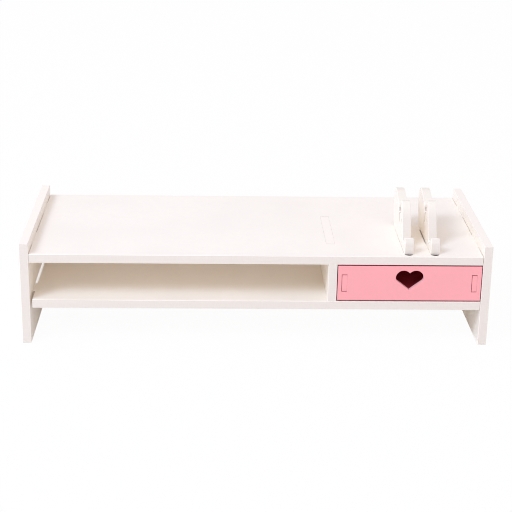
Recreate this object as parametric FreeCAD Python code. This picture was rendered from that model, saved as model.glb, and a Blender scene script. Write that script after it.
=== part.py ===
import FreeCAD, Part
import math
import os

# A monitor stand of white foam board: two side panels carry a top board and a lower shelf,
# a divider parts the open bay from the drawer bay, and two rests for a phone plug into the top.
# All joints are tenons in mortises. The drawer is a pink box that slides on the lower shelf.
# Frame: X to the right, Y to the back, Z up. The origin is on the desk under the middle.

# Overall size
stand_width = 480.0
stand_depth = 200.0
panel_height = 108.0

# Boards
board = 9.0
drawer_board = 5.0
edge_round = 0.5

# Levels and bays
keyboard_height = 39.0
bay_height = 40.0
drawer_bay_width = 149.0

# Clearance of a glued tenon in its mortise, on each side, and of a board's shoulder from a panel
joint_gap = 0.1
shoulder_gap = 0.3

# Top board: two tenons at each end
top_tenon_length = 40.0
top_tenon_offset = 50.0

# Lower shelf: short tenons in one long mortise, and a wider gap at its left shoulder
shelf_tenon_length = 22.0
shelf_tenon_inset = 24.5
shelf_left_gap = 2.4

# Divider: one long tenon up through the top board and one down through the shelf
divider_tenon_length = 90.0
divider_tenon_inset = 38.0
divider_end_gap = 0.5

# Board behind the drawer
bay_back_inset = 8.0
bay_back_tenon_height = 20.0

# Drawer
drawer_side_gap = 0.8
drawer_slide_gap = 0.3
drawer_plate_gap = 1.4
drawer_top_gap = 1.2
drawer_stop_gap = 0.5
drawer_wall_height = 32.0
drawer_wall_inset = 4.5
drawer_tenon_height = 17.2
drawer_mortise_left_gap = 0.5
drawer_mortise_end_gap = 0.7
drawer_bottom_raise = 3.0
bottom_tab_length = 20.0
bottom_tab_offset = 45.0

# Heart cut out of the drawer front
heart_lobe_radius = 8.0
heart_lobe_offset = 6.3
heart_cheek_radius = 4.5
heart_drop = 13.2
heart_top_margin = 4.9

# Phone rests: place, slot in the top board and tab
rest_spacing = 26.8
rest_right_inset = 44.5
rest_front_inset = 7.0
slot_lead = 3.2
slot_slacks = (0.2, 0.8)
tab_front = 34.0
tab_length = 44.0
tab_end_gap = 0.3

# Phone rests: outline, from the front of the foot and from the top of the top board
rest_base_length = 92.0
peak_height = 44.5
lip_shoulder_height = 12.0
lip_height = 16.0
lip_crown = 4.5
lip_width = 8.0
notch_floor_height = 7.0
notch_floor_front = 10.0
notch_floor_back = 21.4
spine_lean = 65.0
peak_back = 44.5
dip_floor_height = 28.0
dip_back = 59.0
lobe_height = 43.4
lobe_toe_height = 34.0
lobe_crest_front = 82.0
lobe_crest_back = 97.5
lobe_belly_back = 104.5
lobe_belly_height = 24.0

# Phone rests: slit under the dip and small hole in the peak
slit_width = 4.0
slit_bottom_height = 17.0
eye_radius = 2.0
eye_back = 37.5
eye_height = 24.0

# Places that follow from the sizes above
front = -stand_depth / 2
back = stand_depth / 2
panel_inner = stand_width / 2 - board
shelf_bottom = keyboard_height
shelf_top = shelf_bottom + board
top_bottom = shelf_top + bay_height
deck = top_bottom + board
divider_right = panel_inner - drawer_bay_width
divider_left = divider_right - board
bay_middle = (divider_right + panel_inner) / 2
bay_back_rear = back - bay_back_inset
bay_back_front = bay_back_rear - board
drawer_rear = bay_back_front - drawer_stop_gap
box_low = shelf_top + drawer_slide_gap
plate_bottom = shelf_top + drawer_plate_gap
plate_top = top_bottom - drawer_top_gap
plate_half_width = drawer_bay_width / 2 - drawer_side_gap
wall_outer = plate_half_width - drawer_wall_inset
wall_inner = wall_outer - drawer_board
plate_middle = (plate_bottom + plate_top) / 2
box_front = front + drawer_board
box_rear = drawer_rear - drawer_board
box_middle = (box_front + box_rear) / 2
bottom_low = box_low + drawer_bottom_raise
bottom_high = bottom_low + drawer_board
rest_foot = front + rest_front_inset


def block(x_span, y_span, z_span):
    """A plain block between the two ends of each span."""
    corner = FreeCAD.Vector(x_span[0], y_span[0], z_span[0])
    width = x_span[1] - x_span[0]
    depth = y_span[1] - y_span[0]
    height = z_span[1] - z_span[0]
    return Part.makeBox(width, depth, height, corner)


def cut_board(x_span, y_span, z_span):
    """A board with its cut edges softened."""
    plain = block(x_span, y_span, z_span)
    return plain.makeFillet(edge_round, plain.Edges)


def grown(span, gap):
    """A span made longer by a gap at each end."""
    return (span[0] - gap, span[1] + gap)


def around(middle, length):
    """A span of the given length around its middle."""
    return (middle - length / 2, middle + length / 2)


def clean(shape):
    """One solid without the seams that fusing leaves."""
    return shape.removeSplitter().Solids[0]


def soften(shape, chosen):
    """Rounds the edges that are chosen by their bounding box."""
    return shape.makeFillet(edge_round, [edge for edge in shape.Edges if chosen(edge.BoundBox)])


# Spans that a tenon and its mortise share

def top_tenon_spans():
    return [around(side * top_tenon_offset, top_tenon_length) for side in (-1, 1)]


def shelf_tenon_spans():
    near = front + shelf_tenon_inset
    far = back - shelf_tenon_inset
    return [(near, near + shelf_tenon_length), (far - shelf_tenon_length, far)]


def divider_tenon_span():
    start = front + divider_tenon_inset
    return (start, start + divider_tenon_length)


def bay_back_tenon_span():
    return around((shelf_top + top_bottom) / 2, bay_back_tenon_height)


def wall_tenon_span():
    return around(plate_middle, drawer_tenon_height)


def bottom_tab_spans():
    return [around(box_middle + side * bottom_tab_offset, bottom_tab_length) for side in (-1, 1)]


def rest_span(index):
    """The thickness of a rest along X: 0 is the left one, 1 the right one."""
    right = panel_inner - rest_right_inset - (1 - index) * rest_spacing
    return (right - board, right)


# White boards

def side_panel(side):
    """Upright board on the left (-1) or the right (1)."""
    x_span = sorted((side * panel_inner, side * stand_width / 2))
    through = grown(x_span, board)
    panel = cut_board(x_span, (front, back), (0, panel_height))
    for y_span in top_tenon_spans():
        mortise = block(through, grown(y_span, joint_gap), grown((top_bottom, deck), joint_gap))
        panel = panel.cut(mortise)
    shelf_tenons = shelf_tenon_spans()
    long_span = (shelf_tenons[0][0], shelf_tenons[-1][1])
    panel = panel.cut(block(through, grown(long_span, joint_gap),
                            grown((shelf_bottom, shelf_top), joint_gap)))
    if side > 0:
        panel = panel.cut(block(through, grown((bay_back_front, bay_back_rear), joint_gap),
                                grown(bay_back_tenon_span(), joint_gap)))
    return clean(panel)


def divider_mortise(z_span):
    return block(grown((divider_left, divider_right), joint_gap),
                 grown(divider_tenon_span(), divider_end_gap), grown(z_span, board))


def rest_slot(index):
    """Slot through the top board, round in front of the foot, with slack on the left of the tab."""
    rest = rest_span(index)
    tab_span = (rest_foot + tab_front, rest_foot + tab_front + tab_length)
    through = grown((top_bottom, deck), board)
    radius = board / 2 + joint_gap
    end_middle = FreeCAD.Vector(sum(rest) / 2, rest_foot - slot_lead + radius, through[0])
    round_end = Part.makeCylinder(radius, through[1] - through[0], end_middle)
    lead = block(grown(rest, joint_gap), (end_middle.y, tab_span[1]), through)
    loose = block((rest[0] - slot_slacks[index], rest[1] + joint_gap), grown(tab_span, joint_gap), through)
    return round_end.fuse(lead).fuse(loose)


def top_board():
    body_span = (-panel_inner + shoulder_gap, panel_inner - shoulder_gap)
    shape = cut_board(body_span, (front, back), (top_bottom, deck))
    for y_span in top_tenon_spans():
        tenon = block((-stand_width / 2, stand_width / 2), y_span, (top_bottom, deck))
        shape = shape.fuse(tenon)
    shape = shape.cut(divider_mortise((top_bottom, deck)))
    for index in (0, 1):
        shape = shape.cut(rest_slot(index))
    return clean(shape)


def lower_shelf():
    body_span = (-panel_inner + shelf_left_gap, panel_inner - shoulder_gap)
    shape = cut_board(body_span, (front, back), (shelf_bottom, shelf_top))
    for y_span in shelf_tenon_spans():
        tenon = block((-stand_width / 2, stand_width / 2), y_span, (shelf_bottom, shelf_top))
        shape = shape.fuse(tenon)
    shape = shape.cut(divider_mortise((shelf_bottom, shelf_top)))
    return clean(shape)


def divider():
    x_span = (divider_left, divider_right)
    shape = cut_board(x_span, (front, back), (shelf_top, top_bottom))
    shape = shape.fuse(block(x_span, divider_tenon_span(), (shelf_bottom, deck)))
    mortise = block(grown(x_span, board), grown((bay_back_front, bay_back_rear), joint_gap),
                    grown(bay_back_tenon_span(), joint_gap))
    return clean(shape.cut(mortise))


def drawer_bay_back():
    y_span = (bay_back_front, bay_back_rear)
    shape = cut_board((divider_right, panel_inner), y_span, (shelf_top, top_bottom))
    tenon = block((divider_left, stand_width / 2), y_span, bay_back_tenon_span())
    return clean(shape.fuse(tenon))


# Phone rests

def point(y, height):
    """A point of the rest's outline, in the plane X = 0."""
    return FreeCAD.Vector(0, rest_foot + y, deck + height)


def rounded_outline(corners):
    """A closed wire through corners, each given as a point and the radius of its rounding."""
    edges = []
    ends = []
    count = len(corners)
    for index, (corner, radius) in enumerate(corners):
        to_last = (corners[index - 1][0] - corner).normalize()
        to_next = (corners[(index + 1) % count][0] - corner).normalize()
        if radius == 0:
            ends.append((corner, corner))
            continue
        half_angle = to_last.getAngle(to_next) / 2
        reach = radius / math.tan(half_angle)
        middle_way = (to_last + to_next).normalize()
        centre = corner + middle_way * (radius / math.sin(half_angle))
        start = corner + to_last * reach
        end = corner + to_next * reach
        edges.append(Part.Arc(start, centre - middle_way * radius, end).toShape())
        ends.append((start, end))
    for index in range(count):
        leave = ends[index][1]
        arrive = ends[(index + 1) % count][0]
        edges.append(Part.LineSegment(leave, arrive).toShape())
    return Part.Wire(Part.__sortEdges__(edges))


def rest_corners():
    """Lip, notch, leaning spine, peak, dip and rear lobe, from the foot round to the foot."""
    spine_run = (peak_height - notch_floor_height) / math.tan(math.radians(spine_lean))
    tab_back = tab_front + tab_length
    tab_bottom = tab_end_gap - board
    return [
        (point(0, 0), 0),
        (point(0, lip_shoulder_height), 3.0),
        (point(lip_crown, lip_height), 2.0),
        (point(lip_width, lip_height - 1.0), 1.5),
        (point(notch_floor_front, notch_floor_height), 2.5),
        (point(notch_floor_back, notch_floor_height), 6.0),
        (point(notch_floor_back + spine_run, peak_height), 2.2),
        (point(peak_back, peak_height), 2.2),
        (point(peak_back, dip_floor_height), 5.0),
        (point(dip_back, dip_floor_height), 2.5),
        (point(dip_back, lobe_toe_height), 2.5),
        (point(lobe_crest_front, lobe_height), 14.0),
        (point(lobe_crest_back, lobe_height), 12.0),
        (point(lobe_belly_back, lobe_belly_height), 14.0),
        (point(rest_base_length, 0), 1.0),
        (point(tab_back, 0), 0),
        (point(tab_back, tab_bottom), 0),
        (point(tab_front, tab_bottom), 0),
        (point(tab_front, 0), 0),
    ]


def rest_slit():
    """Slit down from the floor of the dip, round at its lower end."""
    middle = (peak_back + dip_back) / 2
    radius = slit_width / 2
    low = point(middle, slit_bottom_height + radius)
    round_end = Part.makeCylinder(radius, board * 3, low - FreeCAD.Vector(board, 0, 0),
                                  FreeCAD.Vector(1, 0, 0))
    y_span = (low.y - radius, low.y + radius)
    return round_end.fuse(block((-board, board * 2), y_span, (low.z, deck + lobe_toe_height)))


def phone_rest(index):
    outline = rounded_outline(rest_corners())
    plate = Part.Face(outline).extrude(FreeCAD.Vector(board, 0, 0))
    plate = soften(plate, lambda box: box.XLength < edge_round and box.ZMax > deck + edge_round)
    plate = plate.cut(rest_slit())
    eye = Part.makeCylinder(eye_radius, board * 3, point(eye_back, eye_height)
                            - FreeCAD.Vector(board, 0, 0), FreeCAD.Vector(1, 0, 0))
    plate = clean(plate.cut(eye))
    plate.translate(FreeCAD.Vector(rest_span(index)[0], 0, 0))
    return plate


# Drawer

def heart_hole():
    """The heart, cut right through the drawer front: on each side a lobe, a cheek and a straight edge."""
    centre_z = plate_top - heart_top_margin - heart_lobe_radius
    origin = FreeCAD.Vector(bay_middle, front - board, centre_z)
    tip = origin - FreeCAD.Vector(0, 0, heart_drop)
    notch_rise = math.sqrt(heart_lobe_radius ** 2 - heart_lobe_offset ** 2)
    notch = origin + FreeCAD.Vector(0, 0, notch_rise)
    cheek_offset = heart_lobe_offset + heart_lobe_radius - heart_cheek_radius
    reach = math.hypot(cheek_offset, heart_drop)
    slope = math.atan2(heart_drop, cheek_offset) - math.asin(heart_cheek_radius / reach)
    straight = math.sqrt(reach ** 2 - heart_cheek_radius ** 2)
    edges = []
    for side in (-1, 1):
        outward = FreeCAD.Vector(side, 0, 0)
        crown = origin + outward * heart_lobe_offset + FreeCAD.Vector(0, 0, heart_lobe_radius)
        widest = origin + outward * (heart_lobe_offset + heart_lobe_radius)
        tangent = tip + FreeCAD.Vector(side * math.cos(slope), 0, math.sin(slope)) * straight
        cheek_middle = origin + outward * cheek_offset
        halfway = ((widest - cheek_middle) + (tangent - cheek_middle)).normalize()
        edges.append(Part.Arc(notch, crown, widest).toShape())
        edges.append(Part.Arc(widest, cheek_middle + halfway * heart_cheek_radius, tangent).toShape())
        edges.append(Part.LineSegment(tangent, tip).toShape())
    outline = Part.Wire(Part.__sortEdges__(edges))
    return Part.Face(outline).extrude(FreeCAD.Vector(0, drawer_board + 2 * board, 0))


def wall_span(side):
    """The thickness of a drawer wall along X, on the left (-1) or the right (1)."""
    return sorted((bay_middle + side * wall_inner, bay_middle + side * wall_outer))


def drawer_plate(y_span):
    """Upright plate across the drawer, with a mortise for the tenon of each wall."""
    plate = cut_board(around(bay_middle, 2 * plate_half_width), y_span, (plate_bottom, plate_top))
    for side in (-1, 1):
        wall = wall_span(side)
        x_span = (wall[0] - drawer_mortise_left_gap, wall[1] + joint_gap)
        z_span = grown(wall_tenon_span(), drawer_mortise_end_gap)
        plate = plate.cut(block(x_span, grown(y_span, board), z_span))
    return plate


def drawer_front():
    plate = clean(drawer_plate((front, box_front)).cut(heart_hole()))
    heart_half_width = heart_lobe_offset + heart_lobe_radius
    reach = heart_half_width + edge_round
    heart_span = (bay_middle - reach, bay_middle + reach)
    return soften(plate, lambda box: box.YLength < edge_round and box.XMin > heart_span[0]
                  and box.XMax < heart_span[1])


def drawer_back():
    return clean(drawer_plate((box_rear, drawer_rear)))


def drawer_side(side):
    x_span = wall_span(side)
    z_span = (box_low, box_low + drawer_wall_height)
    shape = cut_board(x_span, (box_front, box_rear), z_span)
    shape = shape.fuse(block(x_span, (front, drawer_rear), wall_tenon_span()))
    for y_span in bottom_tab_spans():
        mortise = block(grown(x_span, board), grown(y_span, joint_gap),
                        grown((bottom_low, bottom_high), joint_gap))
        shape = shape.cut(mortise)
    return clean(shape)


def drawer_bottom():
    z_span = (bottom_low, bottom_high)
    shape = cut_board(around(bay_middle, 2 * wall_inner), (box_front, box_rear), z_span)
    for y_span in bottom_tab_spans():
        shape = shape.fuse(block(around(bay_middle, 2 * wall_outer), y_span, z_span))
    return clean(shape)


nodes = {
    "side_panel_left": side_panel(-1),
    "side_panel_right": side_panel(1),
    "top_board": top_board(),
    "lower_shelf": lower_shelf(),
    "divider": divider(),
    "drawer_bay_back": drawer_bay_back(),
    "phone_rest_left": phone_rest(0),
    "phone_rest_right": phone_rest(1),
    "drawer_front": drawer_front(),
    "drawer_back": drawer_back(),
    "drawer_side_left": drawer_side(-1),
    "drawer_side_right": drawer_side(1),
    "drawer_bottom": drawer_bottom(),
}

os.makedirs("parts", exist_ok=True)
for name, shape in nodes.items():
    shape.exportStep(os.path.join("parts", name + ".step"))
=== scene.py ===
import math
import bpy
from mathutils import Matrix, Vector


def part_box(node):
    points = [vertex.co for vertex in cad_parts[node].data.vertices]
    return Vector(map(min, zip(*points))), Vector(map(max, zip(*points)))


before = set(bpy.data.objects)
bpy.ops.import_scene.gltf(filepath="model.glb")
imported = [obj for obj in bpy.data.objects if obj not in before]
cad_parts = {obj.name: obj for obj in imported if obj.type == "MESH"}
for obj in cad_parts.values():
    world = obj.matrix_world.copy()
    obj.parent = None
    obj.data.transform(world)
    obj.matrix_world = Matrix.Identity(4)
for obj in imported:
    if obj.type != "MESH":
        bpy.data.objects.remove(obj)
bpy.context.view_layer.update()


# Side panels
# Two upright boards of white foamed plastic, cut by a router. Their faces carry a satin film, and
# their cut edges show the matte foam. The shelf and the top board sit in the mortises that are cut
# through them, and the stand rests on their lower edges.

def foam_board(name, thin, colours, patches=()):
    """Foam board whose faces lie square to the axis thin: film on the faces, foam on the cut edges.

    The cut edges that face up mostly take the upper edge colour: painted light from above on the
    white boards, painted shade on the pink ones.
    Each patch is a box, a colour and the share of the box over which the colour fades in from its
    rim. The cut edges inside the box take that colour.
    """
    material = bpy.data.materials.new(name)
    material.use_nodes = True
    tree = material.node_tree
    shader = tree.nodes["Principled BSDF"]
    place = tree.nodes.new("ShaderNodeTexCoord")

    def made(kind, **settings):
        node = tree.nodes.new("ShaderNode" + kind)
        for key, value in settings.items():
            setattr(node, key, value)
        return node

    def joined(source, target):
        tree.links.new(source, target)

    def noise(scale, detail, stretch=(1, 1, 1), rough=0.55):
        mapping = made("Mapping")
        mapping.inputs["Scale"].default_value = stretch
        joined(place.outputs["Object"], mapping.inputs["Vector"])
        texture = made("TexNoise")
        texture.inputs["Scale"].default_value = scale
        texture.inputs["Detail"].default_value = detail
        texture.inputs["Roughness"].default_value = rough
        joined(mapping.outputs["Vector"], texture.inputs["Vector"])
        return texture.outputs["Fac"]

    def ranged(source, low, high, to_low=0.0, to_high=1.0):
        node = made("MapRange", interpolation_type="SMOOTHSTEP")
        node.inputs["From Min"].default_value = low
        node.inputs["From Max"].default_value = high
        node.inputs["To Min"].default_value = to_low
        node.inputs["To Max"].default_value = to_high
        joined(source, node.inputs["Value"])
        return node.outputs["Result"]

    def sockets(node, kind):
        """The inputs A and B and the result of a Mix node that are of one kind, Color or Float."""
        ends = {socket.identifier: socket for socket in (*node.inputs, *node.outputs)}
        return [ends[end + "_" + kind] for end in ("A", "B", "Result")]

    def mixed(factor, first, second):
        node = made("Mix", data_type="RGBA")
        first_end, second_end, result = sockets(node, "Color")
        joined(factor, node.inputs["Factor"])
        for socket, colour in ((first_end, first), (second_end, second)):
            if isinstance(colour, tuple):
                socket.default_value = (*colour, 1.0)
            else:
                joined(colour, socket)
        return result

    # How far a point's surface faces along the board's thickness: 1 on the film, 0 on a cut edge
    facing = made("VectorMath", operation="DOT_PRODUCT")
    facing.inputs[1].default_value = thin
    joined(place.outputs["Normal"], facing.inputs[0])
    square = made("Math", operation="ABSOLUTE")
    joined(facing.outputs["Value"], square.inputs[0])
    on_film = ranged(square.outputs["Value"], low=0.80, high=0.97)
    near_film = ranged(square.outputs["Value"], low=0.10, high=0.55)

    # The film's colour: broad drift, fine mottle and rubbed streaks
    film_shade = tuple(0.965 * part for part in colours["film"])
    drift = ranged(noise(scale=9.0, detail=2.0), low=0.35, high=0.70)
    film = mixed(drift, colours["film"], film_shade)
    mottle = ranged(noise(scale=160.0, detail=3.0), low=0.40, high=0.68)
    film = mixed(ranged(mottle, low=0.0, high=1.0, to_high=0.35), film, film_shade)
    streaky = noise(scale=26.0, detail=5.0, stretch=(1.0, 0.22, 1.0), rough=0.7)
    film = mixed(ranged(streaky, low=0.63, high=0.78, to_high=0.16), film, colours["scuff"])

    # The foam's colour: streaks that the cutter left along the thickness, and the foam's cells
    foam_shade = tuple(0.93 * part for part in colours["foam"])
    streaks = noise(scale=1100.0, detail=2.0, stretch=tuple(0.12 if part else 1.0 for part in thin))
    foam = mixed(ranged(streaks, low=0.35, high=0.70, to_high=0.30), colours["foam"], foam_shade)
    cells = noise(scale=2600.0, detail=2.0)
    foam = mixed(ranged(cells, low=0.48, high=0.72, to_high=0.30), foam, foam_shade)

    # Cut edges that face up: painted light from above on the white boards, painted shade on the
    # pink ones
    upward = made("SeparateXYZ")
    joined(place.outputs["Normal"], upward.inputs["Vector"])
    top_light_share = ranged(upward.outputs["Z"], low=0.70, high=0.95, to_high=0.85)
    foam = mixed(top_light_share, foam, colours["painted upper edge"])

    # Painted light and shade on the cut edges inside the patches. A point's reach is 0 in the
    # middle of the box and 1 at its rim
    for low, high, painted_colour, fade in patches:
        offset = made("VectorMath", operation="SUBTRACT")
        joined(place.outputs["Object"], offset.inputs[0])
        offset.inputs[1].default_value = [(a + b) / 2 for a, b in zip(low, high)]
        share = made("VectorMath", operation="DIVIDE")
        joined(offset.outputs["Vector"], share.inputs[0])
        share.inputs[1].default_value = [(b - a) / 2 for a, b in zip(low, high)]
        reach = made("VectorMath", operation="ABSOLUTE")
        joined(share.outputs["Vector"], reach.inputs[0])
        along = made("SeparateXYZ")
        joined(reach.outputs["Vector"], along.inputs["Vector"])
        level_reach = made("Math", operation="MAXIMUM")
        joined(along.outputs["X"], level_reach.inputs[0])
        joined(along.outputs["Y"], level_reach.inputs[1])
        longest_reach = made("Math", operation="MAXIMUM")
        joined(level_reach.outputs["Value"], longest_reach.inputs[0])
        joined(along.outputs["Z"], longest_reach.inputs[1])
        inside = ranged(longest_reach.outputs["Value"], low=1.0 - fade, high=1.0,
                        to_low=1.0, to_high=0.0)
        foam = mixed(inside, foam, painted_colour)
    joined(mixed(near_film, foam, film), shader.inputs["Base Color"])

    # Gloss: satin on the film with hand-rubbed patches, matte on the foam
    gloss = made("Mix", data_type="FLOAT")
    foam_gloss, film_gloss, roughness = sockets(gloss, "Float")
    foam_gloss.default_value = 0.72
    joined(on_film, gloss.inputs["Factor"])
    satin = ranged(noise(scale=55.0, detail=4.0), low=0.30, high=0.72, to_low=0.36, to_high=0.50)
    joined(satin, film_gloss)
    joined(roughness, shader.inputs["Roughness"])
    shader.inputs["IOR"].default_value = 1.48

    # Relief: the faint orange peel of the film, the cells and streaks of the foam
    height = made("Mix", data_type="FLOAT")
    foam_height, film_height, surface = sockets(height, "Float")
    joined(on_film, height.inputs["Factor"])
    cut = made("Math", operation="ADD")
    joined(streaks, cut.inputs[0])
    joined(cells, cut.inputs[1])
    joined(cut.outputs["Value"], foam_height)
    joined(noise(scale=620.0, detail=2.0), film_height)
    relief = made("Bump")
    relief.inputs["Strength"].default_value = 0.35
    relief.inputs["Distance"].default_value = 0.00006
    joined(surface, relief.inputs["Height"])
    joined(relief.outputs["Normal"], shader.inputs["Normal"])
    return material


def dress(node, material):
    """Gives a board of the frame its finish."""
    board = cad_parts[node]
    board.data.materials.clear()
    board.data.materials.append(material)


white = {
    "film": (0.960, 0.902, 0.812),
    "foam": (0.774, 0.708, 0.622),
    "scuff": (0.915, 0.850, 0.754),
    "painted upper edge": (0.960, 0.902, 0.812),
}
thickness_along = {"X": (1, 0, 0), "Y": (0, 1, 0), "Z": (0, 0, 1)}
white_boards = {axis: foam_board("white_board_" + axis, thin, white)
                for axis, thin in thickness_along.items()}

# The walls of the left panel's long mortise are painted bright, a painted highlight of the light
# that falls in through it, out to 30 mm from its two ends
panel_low, panel_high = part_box("side_panel_left")
shelf_low, shelf_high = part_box("lower_shelf")
mortise_slack = 0.0003
past_mortise = 0.03
mortise_low = (panel_low[0], panel_low[1] + past_mortise, shelf_low[2] - mortise_slack)
mortise_high = (panel_high[0], panel_high[1] - past_mortise, shelf_high[2] + mortise_slack)
mortise_painted_light = (1.0, 0.985, 0.95)
sharp = 0.01
left_board = foam_board("white_board_left", thickness_along["X"], white,
                        [(mortise_low, mortise_high, mortise_painted_light, sharp)])
dress("side_panel_left", left_board)
dress("side_panel_right", white_boards["X"])


# Top board, lower shelf, divider and bay back
# The same white board. The top board carries the monitor, the shelf hangs under it, the divider
# stands between the two, and the bay back closes the drawer's bay behind. Their tenons come out
# flush in the boards that hold them.

# The slots that take the phone rests are painted dark as painted shade in their deep narrow gaps,
# the left one in front of the foot only
slot_painted_shade = (0.10, 0.065, 0.045)
around_slot = 0.004
under_foot = 0.001
deck_low, deck_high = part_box("top_board")
slots = []
for side in ("left", "right"):
    rest_low, rest_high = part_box("phone_rest_" + side)
    shaded_back = rest_low[1] + under_foot if side == "left" else rest_high[1]
    slot_low = (rest_low[0] - around_slot, rest_low[1] - around_slot, deck_low[2])
    slot_high = (rest_high[0] + around_slot, shaded_back, deck_high[2])
    slots.append((slot_low, slot_high, slot_painted_shade, sharp))
dress("top_board", foam_board("white_board_top", thickness_along["Z"], white, slots))
dress("lower_shelf", white_boards["Z"])
dress("divider", white_boards["X"])
dress("drawer_bay_back", white_boards["Y"])


# Phone rests
# Two profiles cut from the white board. Their tabs drop into slots cut through the top board. The
# upper part of each spine is painted pale as a painted highlight, and the back wall of the dip is
# painted dark as painted shade.

rest_foot = rest_low[1]
deck = deck_high[2]
beyond_rest = 1.0

# Painted highlight on the cut edges of the upper spine, where the light falls on them
spine_painted_light = (0.84, 0.785, 0.685)
spine_low = (-beyond_rest, -beyond_rest, deck + 0.026)
spine_high = (beyond_rest, beyond_rest, deck + 0.063)
spine_fade = 0.9
lit_spine = (spine_low, spine_high, spine_painted_light, spine_fade)

# Painted shade on the back wall of the dip, which lies in shade
dip_painted_shade = (0.60, 0.53, 0.47)
dip_low = (-beyond_rest, rest_foot + 0.0575, deck + 0.027)
dip_high = (beyond_rest, rest_foot + 0.0610, deck + 0.0315)
shaded_dip = (dip_low, dip_high, dip_painted_shade, sharp)

rest_board = foam_board("white_board_rest", thickness_along["X"], white, [lit_spine, shaded_dip])
for side in ("left", "right"):
    dress("phone_rest_" + side, rest_board)


# Drawer
# A box of thinner board, deep pink as painted shade for the inside of the drawer, with a pale pink
# front.
# The heart cut through the front is the finger pull, and the tenons of the side walls show in the
# front and in the back.

pink_film = (0.920, 0.380, 0.383)
# Painted shade: the front's cut edges take this deep colour, which darkens the gaps around the
# drawer
front_edge_shade = (0.50, 0.07, 0.11)
pink = {"film": pink_film, "foam": front_edge_shade, "scuff": (0.91, 0.355, 0.37), "painted upper edge": front_edge_shade}

# The heart's walls are painted pale as a painted highlight, while the outer cut edges of the front
# take the deep core colour as painted shade in the gaps around the drawer
heart_painted_light = (0.96, 0.50, 0.50)
front_low, front_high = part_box("drawer_front")
middle = (front_low[0] + front_high[0]) / 2
beside_middle = 0.016
past_face = 0.001
above_lower_edge, below_upper_edge = 0.005, 0.002
heart_low = (middle - beside_middle, front_low[1] - past_face, front_low[2] + above_lower_edge)
heart_high = (middle + beside_middle, front_high[1] + past_face, front_high[2] - below_upper_edge)
pink_front = foam_board("pink_front", thickness_along["Y"], pink,
                        [(heart_low, heart_high, heart_painted_light, sharp)])
dress("drawer_front", pink_front)

# Painted shade: the box is deep pink so that the inside of the drawer is dark
shaded_box_film = (0.80, 0.08, 0.12)
deep = {"film": shaded_box_film, "foam": pink_film, "scuff": (0.73, 0.06, 0.10), "painted upper edge": shaded_box_film}
shaded_box_boards = {axis: foam_board("shaded_pink_box_" + axis, thin, deep)
               for axis, thin in thickness_along.items()}
dress("drawer_back", shaded_box_boards["Y"])
dress("drawer_side_left", shaded_box_boards["X"])
dress("drawer_side_right", shaded_box_boards["X"])
dress("drawer_bottom", shaded_box_boards["Z"])


# Studio
# A pale floor, one broad lamp high on the left in front, and a sky that is brighter in front and
# on the left. The camera sees the sky as white and the floor as nearly white.

bpy.ops.mesh.primitive_plane_add(size=16, location=(0, 3, 0))
floor = bpy.context.object
floor.name = "floor"

paper = bpy.data.materials.new("paper")
paper.use_nodes = True
tree = paper.node_tree
matte = tree.nodes["Principled BSDF"]
matte.inputs["Base Color"].default_value = (0.88, 0.87, 0.86, 1)
matte.inputs["Roughness"].default_value = 0.9
glow = tree.nodes.new("ShaderNodeEmission")
ray = tree.nodes.new("ShaderNodeLightPath")
glow_share = 0.96
share = tree.nodes.new("ShaderNodeMath")
share.operation = "MULTIPLY"
share.inputs[1].default_value = glow_share
blend = tree.nodes.new("ShaderNodeMixShader")
tree.links.new(ray.outputs["Is Camera Ray"], share.inputs[0])
tree.links.new(share.outputs["Value"], blend.inputs["Fac"])
tree.links.new(matte.outputs["BSDF"], blend.inputs[1])
tree.links.new(glow.outputs["Emission"], blend.inputs[2])
tree.links.new(blend.outputs["Shader"], tree.nodes["Material Output"].inputs["Surface"])
floor.data.materials.append(paper)

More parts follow.
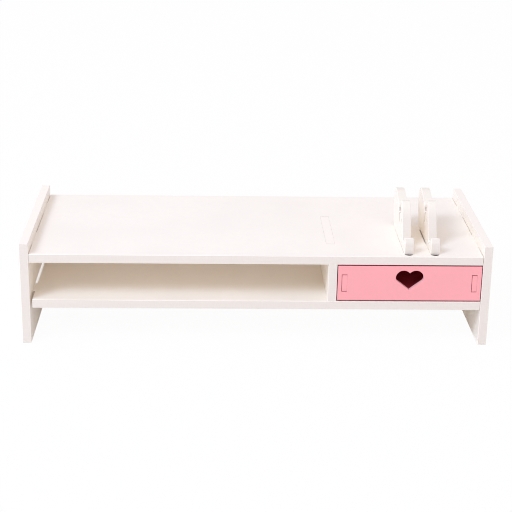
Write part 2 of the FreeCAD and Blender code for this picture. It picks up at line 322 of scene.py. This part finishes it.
key_place = (-2.40, -2.40, 3.03)
key_aim = (0, 0, 0.05)
bpy.ops.object.light_add(type="AREA", location=key_place)
key = bpy.context.object
key.name = "key"
key.data.shape = "RECTANGLE"
key.data.size = 1.7
key.data.size_y = 1.5
key.data.energy = 106
key.data.color = (0.664, 0.805, 1.0)
right, ahead, up = [aim - place for aim, place in zip(key_aim, key_place)]
key.rotation_euler = (math.atan2(math.hypot(right, ahead), -up), 0, math.atan2(-right, ahead))

sky = bpy.data.worlds.new("sky")
sky.use_nodes = True
bpy.context.scene.world = sky
tree = sky.node_tree
lit = tree.nodes["Background"]
lit.inputs["Color"].default_value = (0.98, 0.928, 0.975, 1)
sky_strength = 0.864
sky_slope = (-0.08, -0.15, 0)
direction = tree.nodes.new("ShaderNodeTexCoord")
slope = tree.nodes.new("ShaderNodeVectorMath")
slope.operation = "DOT_PRODUCT"
slope.inputs[1].default_value = sky_slope
tree.links.new(direction.outputs["Generated"], slope.inputs[0])
strength = tree.nodes.new("ShaderNodeMath")
strength.operation = "MULTIPLY_ADD"
strength.inputs[1].default_value = sky_strength
strength.inputs[2].default_value = sky_strength
tree.links.new(slope.outputs["Value"], strength.inputs[0])
tree.links.new(strength.outputs["Value"], lit.inputs["Strength"])
seen = tree.nodes.new("ShaderNodeBackground")
seen.inputs["Color"].default_value = (1, 1, 1, 1)
seen.inputs["Strength"].default_value = 1.0
ray = tree.nodes.new("ShaderNodeLightPath")
blend = tree.nodes.new("ShaderNodeMixShader")
tree.links.new(ray.outputs["Is Camera Ray"], blend.inputs["Fac"])
tree.links.new(lit.outputs["Background"], blend.inputs[1])
tree.links.new(seen.outputs["Background"], blend.inputs[2])
tree.links.new(blend.outputs["Shader"], tree.nodes["World Output"].inputs["Surface"])

bpy.context.scene.view_settings.view_transform = "Standard"
bpy.context.scene.cycles.diffuse_bounces = 8
bpy.context.scene.cycles.filter_width = 1.0


# Camera
# Stands 1.4 m in front of the stand and a little to the left, with a long lens, and looks down
# at it. Place and turn were solved from the corners of the boards in the photo.

camera_place = (-0.0443, -1.4096, 0.5760)
camera_turn_degrees = (69.9134, -0.9600, -1.5363)
bpy.ops.object.camera_add(location=camera_place)
camera = bpy.context.object
camera.rotation_euler = [math.radians(angle) for angle in camera_turn_degrees]
camera.data.sensor_width = 36
camera.data.lens = 96.93
camera.data.clip_end = 50
bpy.context.scene.camera = camera
